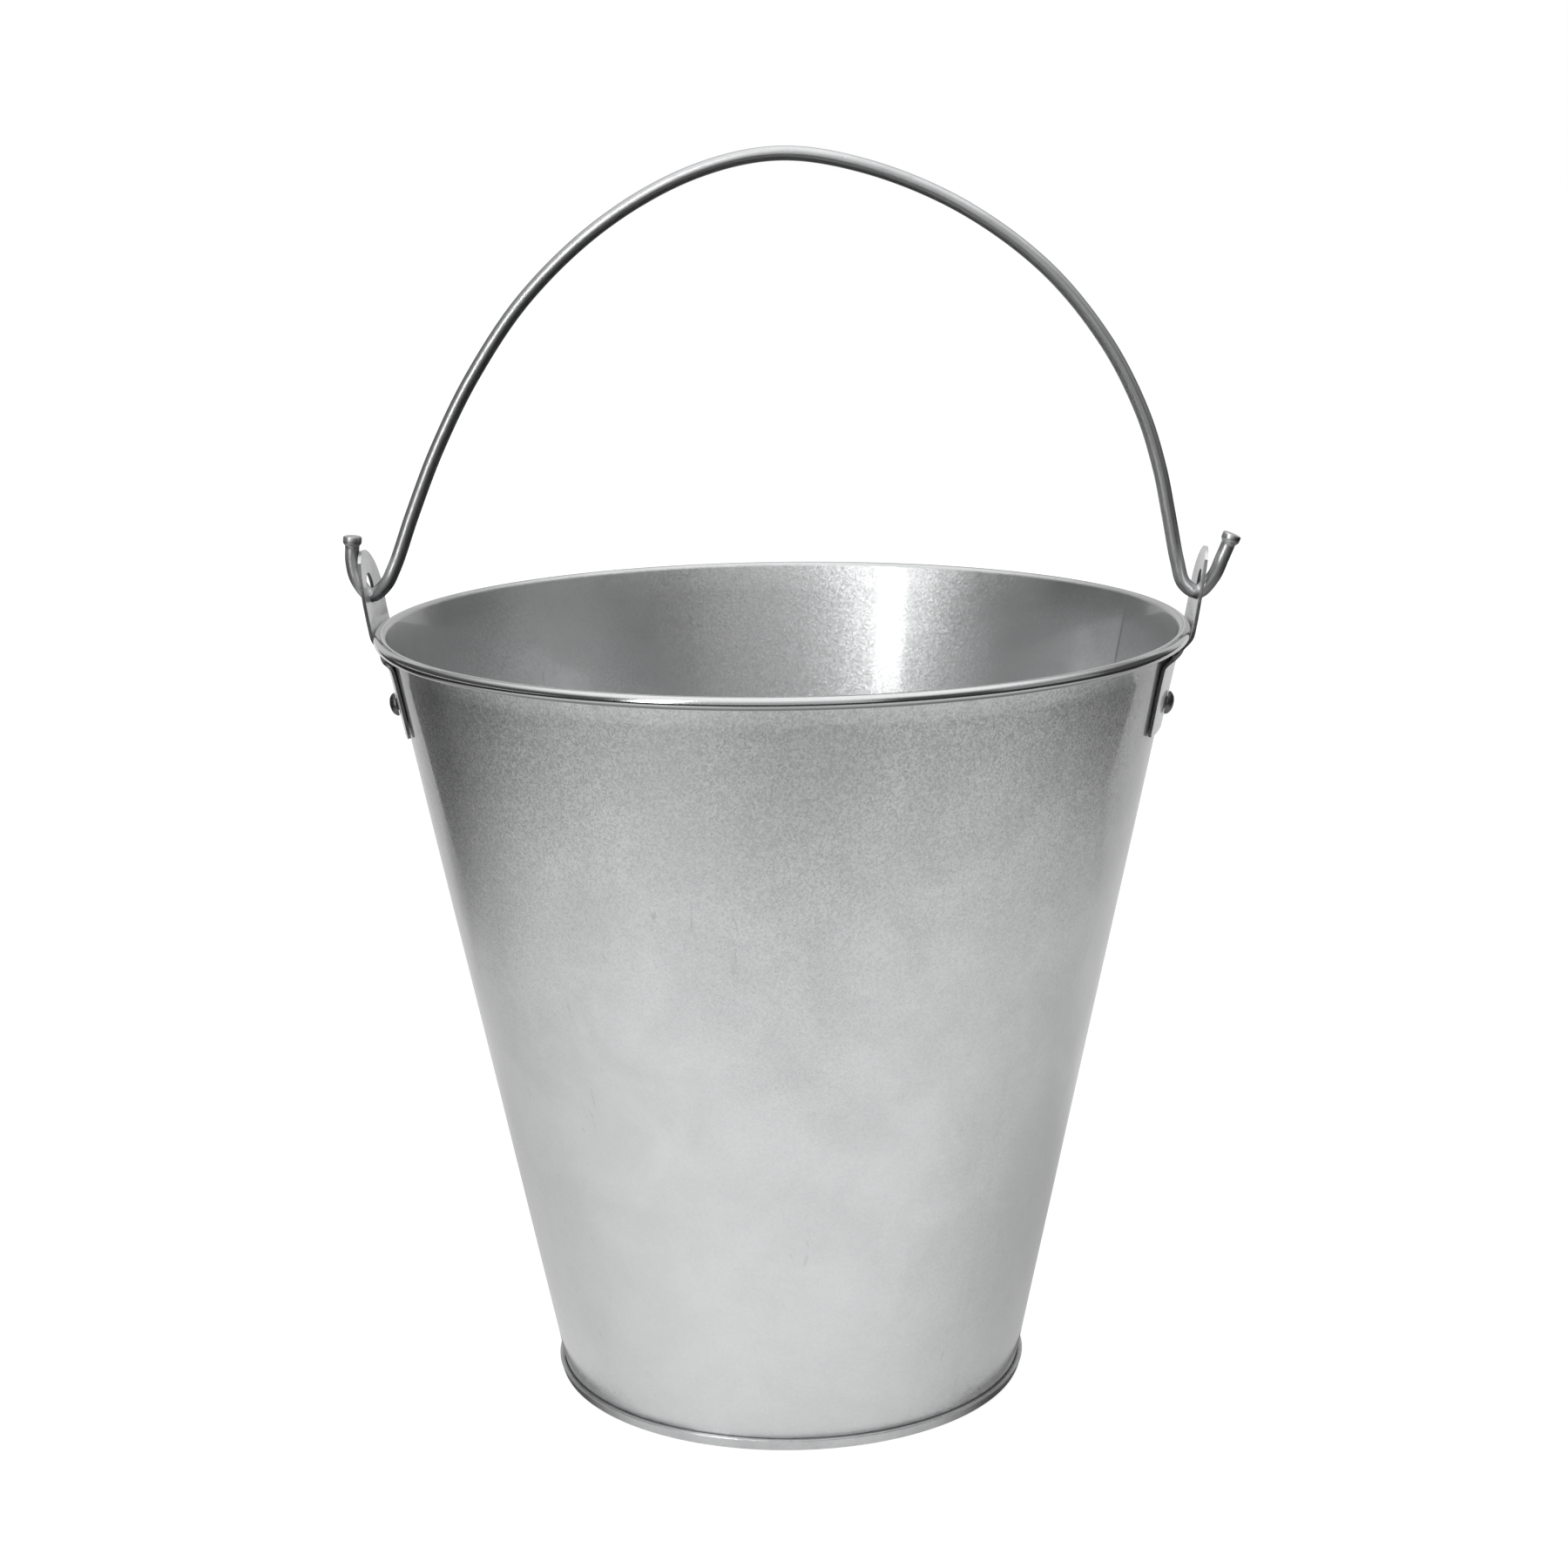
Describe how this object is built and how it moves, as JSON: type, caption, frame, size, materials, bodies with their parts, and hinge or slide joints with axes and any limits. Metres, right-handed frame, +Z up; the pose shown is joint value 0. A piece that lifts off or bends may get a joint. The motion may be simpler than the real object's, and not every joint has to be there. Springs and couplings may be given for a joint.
{
  "type": "florist bucket",
  "caption": "Tapered galvanised sheet-metal flower bucket with a rolled rim, a folded foot seam, riveted ears and a bent-wire handle that swings",
  "frame": {"origin": "on the floor, under the middle of the foot ring", "axes": "+Z up along the bucket's axis; the two ears and the handle's pivot lie on X, ear_right at +X; front is -Y; the handle stands upright at rest"},
  "size_m": [0.2754, 0.25, 0.3845],
  "materials": {
    "galvanised_sheet": "satin zinc-coated sheet under a clear lacquer, fine metallic speckle",
    "ear_plate": "satin zinc-coated plate, cut edges darker",
    "rivet_steel": "dull hammered steel",
    "steel_wire": "drawn wire, hidden in the rolled rim",
    "handle_wire": "smooth zinc-coated drawn wire"
  },
  "bodies": {
    "bucket": {"bucket_body": "galvanised_sheet", "rim_wire": "steel_wire", "base_pan": "galvanised_sheet", "ear_left": "ear_plate", "ear_right": "ear_plate", "rivet_left_front": "rivet_steel", "rivet_left_back": "rivet_steel", "rivet_right_front": "rivet_steel", "rivet_right_back": "rivet_steel"},
    "bail": {"bail_handle": "handle_wire"}
  },
  "joints": [
    {"name": "bail_swing", "type": "hinge", "parent": "bucket", "child": "bail", "pos_m": [0, 0, 0.2498], "axis": [1, 0, 0], "range_deg": [-92, 92]}
  ]
}
